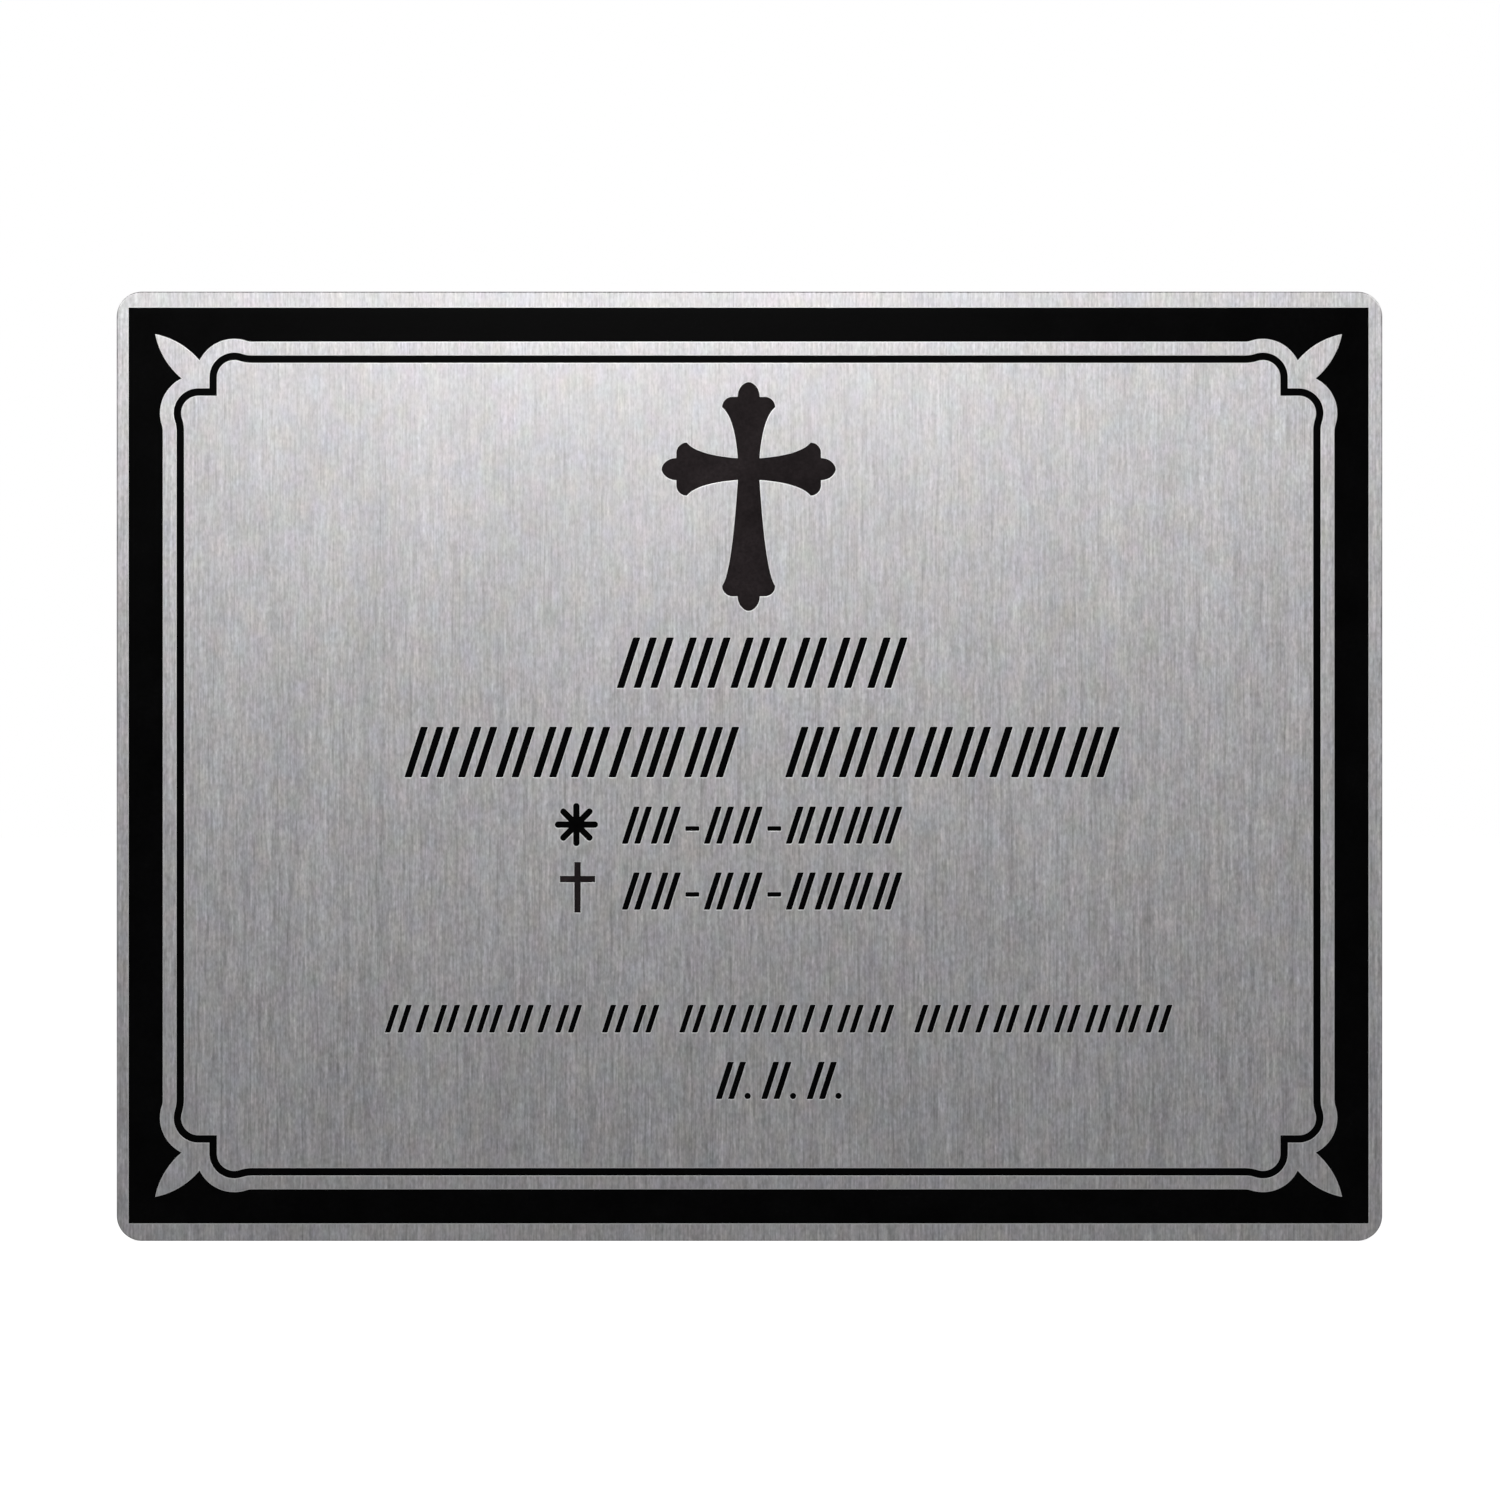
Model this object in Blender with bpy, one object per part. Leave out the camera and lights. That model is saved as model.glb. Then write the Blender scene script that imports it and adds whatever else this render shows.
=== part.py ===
"""Engraved aluminium plaque: one sheet with rounded corners, fixed flat on a wall or a stone.

The plaque stands upright. +X runs to the right along its front, +Z runs up and the front faces -Y.
The origin is the middle of the back face, which lies in the plane y = 0. All sizes are in metres.
"""

import math
from collections import namedtuple

import bmesh
import bpy
from mathutils import Matrix, Vector

# The sheet
PLATE_WIDTH = 0.200
PLATE_HEIGHT = 0.150
PLATE_THICKNESS = 0.002
CORNER_RADIUS = 0.004
EDGE_BREAK = 0.0002
ENGRAVING_DEPTH = 0.0005

# The border, from the outside in: a margin of bare metal, a broad band, a light gap and a thin line
SIDE_MARGIN = 0.0021
TOP_MARGIN = 0.00275
BAND_WIDTH = 0.0053
LINE_GAP = 0.00225
LINE_WIDTH = 0.0010

# The border's corner: a round lobe on each side of the diagonal and a pointed leaf along it.
# The lobe's radius is that of the thin line's inner edge, and the bulge is how far a lobe stands
# out past the straight stretch.
LOBE_RADIUS = 0.00275
LOBE_BULGE = 0.00045
LOBE_BLEND_RADIUS = 0.0030
LEAF_TIP_DISTANCE = 0.0042
LEAF_NECK_WIDTH = 0.0040
LEAF_BULGE = 0.0007
LEAF_CUSP_ANGLE = math.radians(64)

# The large cross, whose flared arms end in two shoulders and a pointed bud
CROSS_ARM_LENGTH = 0.01370
CROSS_FOOT_LENGTH = 0.02224
CROSS_WAIST = 0.0034
FLARE_SWELL = 0.00035
FLARE_KNEE = 0.69
SHOULDER_RADIUS = 0.00165
SHOULDER_LEDGE = 0.0008
BUD_WIDTH = 0.0035
BUD_HEIGHT = 0.00232

# The star and the small cross, each before one of the two rows of dates
SYMBOL_STROKE = 0.0009
SYMBOL_GAP = 0.0035
STAR_ARM_LENGTH = 0.00342
STAR_ARMS = 8
SMALL_CROSS_HEIGHT = 0.0079
SMALL_CROSS_WIDTH = 0.0055
SMALL_CROSS_BAR_DROP = 0.00265
SMALL_CROSS_RISE = 0.0006

# The slanted strokes that fill the rows
STROKE_LEAN = math.radians(18)
MARK_SPACE_RATIO = 1.7
NAME_HEIGHT = 0.0080
NAME_STROKE = 0.00110
DATE_HEIGHT = 0.0059
DATE_STROKE = 0.00092
PHRASE_HEIGHT = 0.0044
PHRASE_STROKE = 0.00082
DASH_LENGTH = 0.0022
DASH_HEIGHT = 0.00065
DOT_DIAMETER = 0.0010

# The rows' lengths, how far their middles stand right of the plate's, and the spaces between words
FIRST_ROW_LENGTH = 0.0460
SECOND_ROW_LENGTH = 0.1131
DATE_ROW_LENGTH = 0.0444
PHRASE_ROW_LENGTH = 0.1245
LAST_ROW_LENGTH = 0.0199
NAME_SHIFT = 0.0020
PHRASE_SHIFT = 0.0046
NAME_WORD_SPACE = 0.0098
PHRASE_WORD_SPACE = 0.0045

# How the height that the cross and the rows leave free inside the line is shared out, top to bottom
SPACE_SHARES = (3.0, 4.4, 6.1, 4.6, 4.5, 15.0, 4.6, 11.1)

# How far a facet may lie inside a round edge, the facets along a flare, and how far a cutter stands
# out of the face that it cuts
ARC_TOLERANCE = 0.00002
FLARE_STEPS = 7
CUTTER_MARGIN = 0.0005

# A row of the inscription. In its pattern a digit is a mark of so many strokes, "-" is a dash, "."
# is a dot and a space parts two words.
Row = namedtuple("Row", "name shift length height stroke word_space pattern")


def clear_scene():
    for thing in list(bpy.data.objects):
        bpy.data.objects.remove(thing, do_unlink=True)


def make_material(name, colour, metallic, roughness):
    material = bpy.data.materials.new(name)
    material.use_nodes = True
    shader = material.node_tree.nodes["Principled BSDF"]
    shader.inputs["Base Color"].default_value = (*colour, 1.0)
    shader.inputs["Metallic"].default_value = metallic
    shader.inputs["Roughness"].default_value = roughness
    material.diffuse_color = (*colour, 1.0)
    return material


def polar(length, angle):
    return Vector((length * math.cos(angle), length * math.sin(angle)))


def arc(centre, radius, start, end):
    """Points on a circle from one angle to another, both ends included."""
    widest = 2 * math.acos(1 - min(1.0, ARC_TOLERANCE / radius))
    steps = max(2, math.ceil(abs(end - start) / widest))
    return [centre + polar(radius, start + (end - start) * i / steps) for i in range(steps + 1)]


def bulged_line(start, end, bulge):
    """Points on the shallow arc from start to end that stands bulge to the right of its chord."""
    chord = end - start
    half = chord.length / 2
    radius = (half**2 + bulge**2) / (2 * bulge)
    left = Vector((-chord.y, chord.x)).normalized()
    centre = (start + end) / 2 + left * (radius - bulge)
    first = math.atan2(start.y - centre.y, start.x - centre.x)
    turn = 2 * math.asin(half / radius)
    return arc(centre, radius, first, first + turn)


def rectangle(left, bottom, right, top):
    return [Vector((left, bottom)), Vector((right, bottom)), Vector((right, top)), Vector((left, top))]


def without_doubles(points):
    """The points of a closed outline, each kept only where it differs from the one before it."""
    before = points[-1:] + points[:-1]
    return [point for point, last in zip(points, before) if (point - last).length > 1e-7]


def plate_outline():
    right = PLATE_WIDTH / 2 - CORNER_RADIUS
    top = PLATE_HEIGHT / 2 - CORNER_RADIUS
    quarter = math.pi / 2
    outline = []
    for turn, (x, z) in enumerate(((right, top), (-right, top), (-right, -top), (right, -top))):
        outline += arc(Vector((x, z)), CORNER_RADIUS, turn * quarter, (turn + 1) * quarter)
    return without_doubles(outline)


def band_half_sizes():
    return PLATE_WIDTH / 2 - SIDE_MARGIN, PLATE_HEIGHT / 2 - TOP_MARGIN


def band_outer_outline():
    half_width, half_height = band_half_sizes()
    return rectangle(-half_width, -half_height, half_width, half_height)


def half_corner(inset):
    """One side of the border's corner, at inset from the band's inner edge.

    A point is measured inward from the band's outer corner, first across the upright side and then
    along it. The points run from the straight stretch round the lobe to the diagonal: to the tip of
    the leaf on the band's own edge, and to a square notch on the edges of the line.
    """
    lobe_radius = LOBE_RADIUS + LINE_WIDTH + LINE_GAP
    lobe_x = BAND_WIDTH - LOBE_BULGE + lobe_radius
    cusp_angle = math.pi + LEAF_CUSP_ANGLE
    cusp_x = lobe_x + polar(lobe_radius, cusp_angle).x
    cusp_z = cusp_x + LEAF_NECK_WIDTH / math.sqrt(2)
    lobe = Vector((lobe_x, cusp_z - polar(lobe_radius, cusp_angle).y))

    radius = lobe_radius - inset
    blend = LOBE_BLEND_RADIUS + inset
    blend_x = BAND_WIDTH + inset - blend
    blend_rise = math.sqrt((radius + blend) ** 2 - (lobe.x - blend_x) ** 2)
    blend_centre = Vector((blend_x, lobe.y + blend_rise))
    touch = math.atan2(lobe.y - blend_centre.y, lobe.x - blend_centre.x)
    points = arc(blend_centre, blend, 0.0, touch)
    if inset:
        points += arc(lobe, radius, touch + math.pi, 1.5 * math.pi)
        points.append(Vector((lobe.y - radius, lobe.y - radius)))
    else:
        points += arc(lobe, radius, touch + math.pi, cusp_angle)
        points += bulged_line(points[-1], Vector((LEAF_TIP_DISTANCE, LEAF_TIP_DISTANCE)), LEAF_BULGE)
    return points


def border_outline(inset):
    """The closed outline at inset from the band's inner edge, round all four corners."""
    half_width, half_height = band_half_sizes()
    upright = half_corner(inset)
    level = [Vector((point.y, point.x)) for point in reversed(upright)]
    outline = []
    for side, end in ((-1, 1), (1, 1), (1, -1), (-1, -1)):
        corner = [Vector((side * (half_width - p.x), end * (half_height - p.y))) for p in upright + level]
        outline += corner if side != end else reversed(corner)
    return without_doubles(outline)


def half_arm(length):
    """The right side of an arm of the large cross that points up, from its waist to its tip."""
    half_bud = BUD_WIDTH / 2
    shoulder = Vector((half_bud + SHOULDER_LEDGE, length - BUD_HEIGHT - SHOULDER_RADIUS))
    waist = Vector((CROSS_WAIST / 2, CROSS_WAIST / 2))
    flare_tip = shoulder + Vector((SHOULDER_RADIUS, 0.0))
    knee = Vector((waist.x + FLARE_SWELL, waist.y + FLARE_KNEE * (flare_tip.y - waist.y)))
    points = []
    for step in range(FLARE_STEPS + 1):
        t = step / FLARE_STEPS
        points.append((1 - t) ** 2 * waist + 2 * t * (1 - t) * knee + t**2 * flare_tip)
    points += arc(shoulder, SHOULDER_RADIUS, 0.0, math.pi / 2)
    bud_radius = (half_bud**2 + BUD_HEIGHT**2) / (2 * half_bud)
    bud_centre = Vector((half_bud - bud_radius, length - BUD_HEIGHT))
    points += arc(bud_centre, bud_radius, 0.0, math.atan2(BUD_HEIGHT, bud_radius - half_bud))
    return points


def large_cross_outline(crossing):
    outline = []
    for quarter in range(4):
        right_side = half_arm(CROSS_FOOT_LENGTH if quarter == 2 else CROSS_ARM_LENGTH)
        left_side = [Vector((-point.x, point.y)) for point in reversed(right_side)]
        turn = Matrix.Rotation(quarter * math.pi / 2, 2)
        outline += [crossing + turn @ point for point in right_side + left_side]
    return without_doubles(outline)


def star_outline(centre):
    """Round-ended arms, with a fork between each and the next."""
    half_stroke = SYMBOL_STROKE / 2
    half_turn = math.pi / STAR_ARMS
    outline = []
    for arm in range(STAR_ARMS):
        angle = 2 * half_turn * arm
        end = centre + polar(STAR_ARM_LENGTH - half_stroke, angle)
        outline += arc(end, half_stroke, angle - math.pi / 2, angle + math.pi / 2)
        outline.append(centre + polar(half_stroke / math.sin(half_turn), angle + half_turn))
    return outline


def small_cross_outline(centre):
    half_stroke = SYMBOL_STROKE / 2
    half_bar = SMALL_CROSS_WIDTH / 2
    top = SMALL_CROSS_HEIGHT / 2
    bar = top - SMALL_CROSS_BAR_DROP
    right_side = [
        Vector((half_stroke, -top)),
        Vector((half_stroke, bar - half_stroke)),
        Vector((half_bar, bar - half_stroke)),
        Vector((half_bar, bar + half_stroke)),
        Vector((half_stroke, bar + half_stroke)),
        Vector((half_stroke, top)),
    ]
    left_side = [Vector((-point.x, point.y)) for point in reversed(right_side)]
    return [centre + point for point in right_side + left_side]


def mark_length(mark, row, space):
    """The length of a mark along its row, with the spaces between its own strokes."""
    if mark == "-":
        return DASH_LENGTH
    if mark == ".":
        return DOT_DIAMETER
    return int(mark) * row.stroke + (int(mark) - 1) * space


def mark_outlines(mark, left, baseline, row, space):
    """The outlines of one mark, from the left end of its foot."""
    slant = row.height * math.tan(STROKE_LEAN)
    if mark == "-":
        middle = baseline + row.height / 2
        left += slant / 2
        return [rectangle(left, middle - DASH_HEIGHT / 2, left + DASH_LENGTH, middle + DASH_HEIGHT / 2)]
    if mark == ".":
        radius = DOT_DIAMETER / 2
        return [arc(Vector((left + radius, baseline + radius)), radius, 0.0, math.tau)[:-1]]
    outlines = []
    for stroke in range(int(mark)):
        foot = left + stroke * (row.stroke + space)
        outline = rectangle(foot, baseline, foot + row.stroke, baseline + row.height)
        for point in outline[2:]:
            point.x += slant
        outlines.append(outline)
    return outlines


def row_outlines(row, baseline):
    """The closed outlines of all that a row holds, spaced out so that it fills its length."""
    words = row.pattern.split()
    solid = sum(mark_length(mark, row, 0.0) for word in words for mark in word)
    inner_spaces = sum(int(mark) - 1 for word in words for mark in word if mark.isdigit())
    outer_spaces = sum(len(word) - 1 for word in words)
    last_lean = row.height * math.tan(STROKE_LEAN) if words[-1][-1].isdigit() else 0.0
    free = row.length - last_lean - solid - (len(words) - 1) * row.word_space
    space = free / (inner_spaces + MARK_SPACE_RATIO * outer_spaces)
    outlines = []
    left = row.shift - row.length / 2
    for word in words:
        for mark in word:
            outlines += mark_outlines(mark, left, baseline, row, space)
            left += mark_length(mark, row, space) + MARK_SPACE_RATIO * space
        left += row.word_space - MARK_SPACE_RATIO * space
    return outlines


def make_rows():
    date = (NAME_SHIFT, DATE_ROW_LENGTH, DATE_HEIGHT, DATE_STROKE, 0.0, "22-22-2222")
    phrase = "2123212 22 22221122 221222222"
    return [
        Row("first_row", NAME_SHIFT, FIRST_ROW_LENGTH, NAME_HEIGHT, NAME_STROKE, 0.0, "333222"),
        Row("second_row", NAME_SHIFT, SECOND_ROW_LENGTH, NAME_HEIGHT, NAME_STROKE, NAME_WORD_SPACE,
            "32222133 32222133"),
        Row("upper_date_row", *date),
        Row("lower_date_row", *date),
        Row("phrase_row", PHRASE_SHIFT, PHRASE_ROW_LENGTH, PHRASE_HEIGHT, PHRASE_STROKE,
            PHRASE_WORD_SPACE, phrase),
        Row("last_row", PHRASE_SHIFT, LAST_ROW_LENGTH, DATE_HEIGHT, DATE_STROKE, 0.0, "2.2.2."),
    ]


def engraved_outlines():
    """The outlines of every engraved feature, by its name."""
    rows = make_rows()
    half_field = band_half_sizes()[1] - BAND_WIDTH - LINE_GAP - LINE_WIDTH
    cross_height = CROSS_ARM_LENGTH + CROSS_FOOT_LENGTH
    free = 2 * half_field - cross_height - sum(row.height for row in rows)
    spaces = [free * share / sum(SPACE_SHARES) for share in SPACE_SHARES]

    cross_top = half_field - spaces[0]
    features = {"large_cross": [large_cross_outline(Vector((0.0, cross_top - CROSS_ARM_LENGTH)))]}
    baseline = cross_top - cross_height
    for row, space in zip(rows, spaces[1:]):
        baseline -= space + row.height
        features[row.name] = row_outlines(row, baseline)
        symbol_x = row.shift - row.length / 2 - SYMBOL_GAP - STAR_ARM_LENGTH
        symbol_z = baseline + row.height / 2
        if row.name == "upper_date_row":
            features["star"] = [star_outline(Vector((symbol_x, symbol_z)))]
        if row.name == "lower_date_row":
            features["small_cross"] = [small_cross_outline(Vector((symbol_x, symbol_z + SMALL_CROSS_RISE)))]
    return features


def slab(name, outlines, front, back, material, hollow=False):
    """A closed solid between two upright planes, with an island for each outline.

    Where it is hollow, the second outline is a hole in the first.
    """
    bm = bmesh.new()
    rings = [[bm.verts.new((point.x, front, point.y)) for point in outline] for outline in outlines]
    if hollow:
        edges = [bm.edges.new(pair) for ring in rings for pair in zip(ring, ring[1:] + ring[:1])]
        bmesh.ops.triangle_fill(bm, edges=edges, use_beauty=True)
    else:
        for ring in rings:
            bm.faces.new(ring)
    extruded = bmesh.ops.extrude_face_region(bm, geom=bm.faces[:], use_keep_orig=True)
    moved = [item for item in extruded["geom"] if isinstance(item, bmesh.types.BMVert)]
    bmesh.ops.translate(bm, verts=moved, vec=(0.0, back - front, 0.0))
    bmesh.ops.recalc_face_normals(bm, faces=bm.faces[:])
    mesh = bpy.data.meshes.new(name)
    bm.to_mesh(mesh)
    bm.free()
    mesh.materials.append(material)
    return bpy.data.objects.new(name, mesh)


def make_plate(aluminium):
    """The blank sheet, with the sharp edge taken off its front all the way round."""
    plate = slab("plaque_plate", [plate_outline()], -PLATE_THICKNESS, 0.0, aluminium)
    bpy.context.scene.collection.objects.link(plate)
    bm = bmesh.new()
    bm.from_mesh(plate.data)
    rim = [e for e in bm.edges if all(vert.co.y < -PLATE_THICKNESS / 2 for vert in e.verts)]
    bmesh.ops.bevel(
        bm, geom=rim, offset=EDGE_BREAK, segments=1, profile=0.5, affect="EDGES", material=-1
    )
    bm.to_mesh(plate.data)
    bm.free()
    return plate


def make_cutters(enamel):
    """A cutter for each engraved feature, in a collection of their own."""
    engraving = bpy.data.collections.new("engraving")
    bpy.context.scene.collection.children.link(engraving)
    line_edges = [border_outline(LINE_GAP), border_outline(LINE_GAP + LINE_WIDTH)]
    features = {"band": [band_outer_outline(), border_outline(0.0)], "inner_line": line_edges}
    features.update(engraved_outlines())
    front = -PLATE_THICKNESS
    for name, outlines in features.items():
        hollow = name in ("band", "inner_line")
        floor = front + ENGRAVING_DEPTH
        cutter = slab(name + "_cutter", outlines, front - CUTTER_MARGIN, floor, enamel, hollow)
        cutter.hide_render = True
        cutter.display_type = "WIRE"
        engraving.objects.link(cutter)
    return engraving


def engrave(plate, engraving):
    """Takes all the cutters out of the plate in one cut, which paints its floors black."""
    cut = plate.modifiers.new("engraving", "BOOLEAN")
    cut.operation = "DIFFERENCE"
    cut.solver = "EXACT"
    cut.material_mode = "TRANSFER"
    cut.operand_type = "COLLECTION"
    cut.collection = engraving


clear_scene()
brushed_aluminium = make_material("brushed_aluminium", (0.60, 0.60, 0.61), 1.0, 0.35)
black_enamel = make_material("black_enamel", (0.01, 0.01, 0.01), 0.0, 0.4)
engrave(make_plate(brushed_aluminium), make_cutters(black_enamel))
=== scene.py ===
import math

import bmesh
import bpy
from mathutils import Matrix, Vector
from mathutils.geometry import interpolate_bezier


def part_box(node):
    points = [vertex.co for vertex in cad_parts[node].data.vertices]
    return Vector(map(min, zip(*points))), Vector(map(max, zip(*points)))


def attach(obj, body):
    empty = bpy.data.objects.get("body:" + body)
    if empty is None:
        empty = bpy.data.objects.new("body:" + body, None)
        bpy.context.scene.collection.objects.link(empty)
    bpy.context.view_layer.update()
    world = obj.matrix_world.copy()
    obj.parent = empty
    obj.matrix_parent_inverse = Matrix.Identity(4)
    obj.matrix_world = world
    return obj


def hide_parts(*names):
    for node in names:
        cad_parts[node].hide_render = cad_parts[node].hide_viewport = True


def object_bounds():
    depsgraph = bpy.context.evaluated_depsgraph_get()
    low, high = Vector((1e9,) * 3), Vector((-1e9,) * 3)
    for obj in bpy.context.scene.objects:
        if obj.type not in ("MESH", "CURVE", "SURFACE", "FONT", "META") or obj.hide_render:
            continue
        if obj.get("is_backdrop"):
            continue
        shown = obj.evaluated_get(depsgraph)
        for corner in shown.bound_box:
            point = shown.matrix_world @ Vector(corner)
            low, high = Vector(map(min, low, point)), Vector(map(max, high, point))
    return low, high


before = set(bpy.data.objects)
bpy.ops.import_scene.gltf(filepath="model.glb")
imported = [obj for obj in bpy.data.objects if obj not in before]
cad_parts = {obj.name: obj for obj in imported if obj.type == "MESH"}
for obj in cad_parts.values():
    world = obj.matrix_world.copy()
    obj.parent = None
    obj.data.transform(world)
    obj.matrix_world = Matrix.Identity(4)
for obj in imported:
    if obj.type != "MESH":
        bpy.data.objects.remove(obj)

# Border band
# The broad black band round the plaque, engraved half a millimetre deep and filled with enamel.
# Its inner edge has a round lobe on each side of every corner and a leaf of bare metal between.
# It is drawn flat in the plane of the sheet's front, which faces -Y, as every other cut is.
cad_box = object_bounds()
sheet_low, sheet_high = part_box("plaque_plate")
FRONT = sheet_low.y
HALF_WIDTH = sheet_high.x
HALF_HEIGHT = sheet_high.z
UPRIGHT = Matrix.Rotation(math.pi / 2, 4, "X")
ENGRAVING_DEPTH = 0.0005
SIDE_MARGIN = 0.00205
TOP_MARGIN = 0.00265
BAND_WIDTH = 0.0054
LINE_GAP = 0.00217
LINE_WIDTH = 0.00118
BORDER_MIDDLE = (-0.00014, 0.0, 0.00012)
LINE_LOBE_RADIUS = 0.00275
LOBE_RADIUS = LINE_LOBE_RADIUS + LINE_WIDTH + LINE_GAP
LOBE_BULGE = 0.00045
LOBE_BLEND_RADIUS = 0.0030
LEAF_TIP_DISTANCE = 0.0042
LEAF_NECK_WIDTH = 0.0040
LEAF_BULGE = 0.0007
LEAF_CUSP_ANGLE = math.radians(64)
ARC_TOLERANCE = 0.000004
MERGE_DISTANCE = 0.000001
SHARP_ANGLE = math.radians(35)
FLAT_NORMAL = 0.999
FRONTAL_NORMAL = -0.5

ENAMEL_COLOUR = (0.0010, 0.0010, 0.0011)
ENAMEL_SPECULAR = 0.018
CLOUD_SIZE = (0.006, 0.006, 0.006)
CLOUD_SHADE = (0.7, 1.3)
CLOUD_ROUGHNESS = (0.19, 0.25)
DUST_SIZE = (0.0005, 0.0005, 0.0005)
DUST_SHADE = (0.8, 1.2)
DUST_ROUGHNESS = (-0.02, 0.04)
DUST_RELIEF = 0.25
DUST_HEIGHT = 0.00002
NOISE_MIDDLE = (0.3, 0.7)

# The enamel's edge lies this far below the front. From there it dips in steps of a width and a
# depth.
ENAMEL_EDGE_DROP = 0.00013
MENISCUS_STEPS = ((0.00004, 0.00005), (0.00009, 0.00003))

band_half_width = HALF_WIDTH - SIDE_MARGIN
band_half_height = HALF_HEIGHT - TOP_MARGIN


def start_line(bm, x, z):
    """A first point, from which a line is drawn in the plane of the plaque's front."""
    return bmesh.ops.create_vert(bm, co=(x, FRONT, z))["vert"][0]


def line_to(bm, point, x, z):
    drawn = bmesh.ops.extrude_vert_indiv(bm, verts=[point])["verts"][0]
    drawn.co = (x, FRONT, z)
    return drawn


def arc_about(bm, point, x, z, turn):
    """Sweeps a point about the centre x, z. A turn above 0 goes from the right to the top."""
    radius = math.hypot(point.co.x - x, point.co.z - z)
    steps = math.ceil(abs(turn) / (2 * math.acos(1 - ARC_TOLERANCE / radius)))
    swept = bmesh.ops.spin(
        bm, geom=[point], cent=(x, FRONT, z), axis=(0, -1, 0), angle=turn, steps=max(4, steps)
    )
    return swept["geom_last"][0]


def mirror_drawing(bm, axis, matrix=Matrix.Identity(4)):
    geometry = bm.verts[:] + bm.edges[:] + bm.faces[:]
    bmesh.ops.mirror(bm, geom=geometry, matrix=matrix, merge_dist=MERGE_DISTANCE, axis=axis)
    bmesh.ops.remove_doubles(bm, verts=bm.verts[:], dist=MERGE_DISTANCE)


def draw_half_corner(bm, inset):
    """The side of a corner next to the upright edge, at inset from the band's inner edge.

    It is drawn at the lower left, with the band's outer corner at 0, 0, and returns its first point.
    """
    lobe_x = BAND_WIDTH - LOBE_BULGE + LOBE_RADIUS
    cusp_x = lobe_x - LOBE_RADIUS * math.cos(LEAF_CUSP_ANGLE)
    cusp_z = cusp_x + LEAF_NECK_WIDTH / math.sqrt(2)
    lobe_z = cusp_z + LOBE_RADIUS * math.sin(LEAF_CUSP_ANGLE)
    radius = LOBE_RADIUS - inset
    blend = LOBE_BLEND_RADIUS + inset
    blend_x = BAND_WIDTH + inset - blend
    blend_z = lobe_z + math.sqrt((radius + blend) ** 2 - (lobe_x - blend_x) ** 2)
    touch = math.atan2(lobe_z - blend_z, lobe_x - blend_x)
    first = start_line(bm, blend_x + blend, blend_z)
    point = arc_about(bm, first, blend_x, blend_z, touch)
    if inset:
        point = arc_about(bm, point, lobe_x, lobe_z, math.pi / 2 - touch)
        line_to(bm, point, lobe_z - radius, lobe_z - radius)
        return first
    point = arc_about(bm, point, lobe_x, lobe_z, LEAF_CUSP_ANGLE - touch)
    half_chord = Vector((LEAF_TIP_DISTANCE - cusp_x, LEAF_TIP_DISTANCE - cusp_z)) / 2
    leaf_radius = (half_chord.length**2 + LEAF_BULGE**2) / (2 * LEAF_BULGE)
    aside = Vector((-half_chord.y, half_chord.x)).normalized() * (leaf_radius - LEAF_BULGE)
    leaf_centre = Vector((cusp_x, cusp_z)) + half_chord + aside
    arc_about(bm, point, leaf_centre.x, leaf_centre.y, 2 * math.asin(half_chord.length / leaf_radius))
    return first


def draw_border_edge(bm, inset):
    """The closed line at inset from the band's inner edge, with its four corners."""
    corner = bmesh.new()
    first = draw_half_corner(corner, inset)
    diagonal = Matrix.Rotation(math.radians(-45), 4, "Y")
    upright_start = first.co.copy()
    mirror_drawing(corner, "X", diagonal)
    ends = [vert for vert in corner.verts if len(vert.link_edges) == 1]
    upright_end = next(vert for vert in ends if (vert.co - upright_start).length < MERGE_DISTANCE)
    level_end = next(vert for vert in ends if vert != upright_end)
    line_to(corner, upright_end, upright_start.x, band_half_height)
    line_to(corner, level_end, band_half_width, level_end.co.z)
    bmesh.ops.translate(corner, verts=corner.verts[:], vec=(-band_half_width, 0.0, -band_half_height))
    mirror_drawing(corner, "X")
    mirror_drawing(corner, "Z")
    bmesh.ops.translate(corner, verts=corner.verts[:], vec=BORDER_MIDDLE)
    add_drawing(bm, corner)


def add_drawing(bm, drawing):
    """Puts a drawing into another one, and frees it."""
    mesh = bpy.data.meshes.new("drawing")
    drawing.to_mesh(mesh)
    drawing.free()
    bm.from_mesh(mesh)
    bpy.data.meshes.remove(mesh)


def draw_rectangle(bm, half_width, half_height):
    """A rectangle round the middle of the plaque, with its face."""
    size = Matrix.Diagonal((half_width, half_height, 1.0, 1.0))
    place = Matrix.Translation((0.0, FRONT, 0.0)) @ UPRIGHT @ size
    bmesh.ops.create_grid(bm, x_segments=1, y_segments=1, size=1.0, matrix=place)


def close_drawing(name, drawing):
    """Fills a drawing's closed lines, all facing the front, and keeps it as a flat mesh."""
    open_edges = [edge for edge in drawing.edges if not edge.link_faces]
    bmesh.ops.triangle_fill(drawing, edges=open_edges, use_beauty=True)
    for face in drawing.faces:
        if face.normal.y > 0.0:
            face.normal_flip()
    mesh = bpy.data.meshes.new(name)
    drawing.to_mesh(mesh)
    drawing.free()
    return mesh


def add_node(tree, kind, inputs, **settings):
    """A shader node. An input is linked where it is another node's output, and set where not."""
    node = tree.nodes.new(kind)
    for name, value in settings.items():
        setattr(node, name, value)
    for name, value in inputs.items():
        if isinstance(value, bpy.types.NodeSocket):
            tree.links.new(value, node.inputs[name])
        else:
            node.inputs[name].default_value = value
    return node


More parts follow.
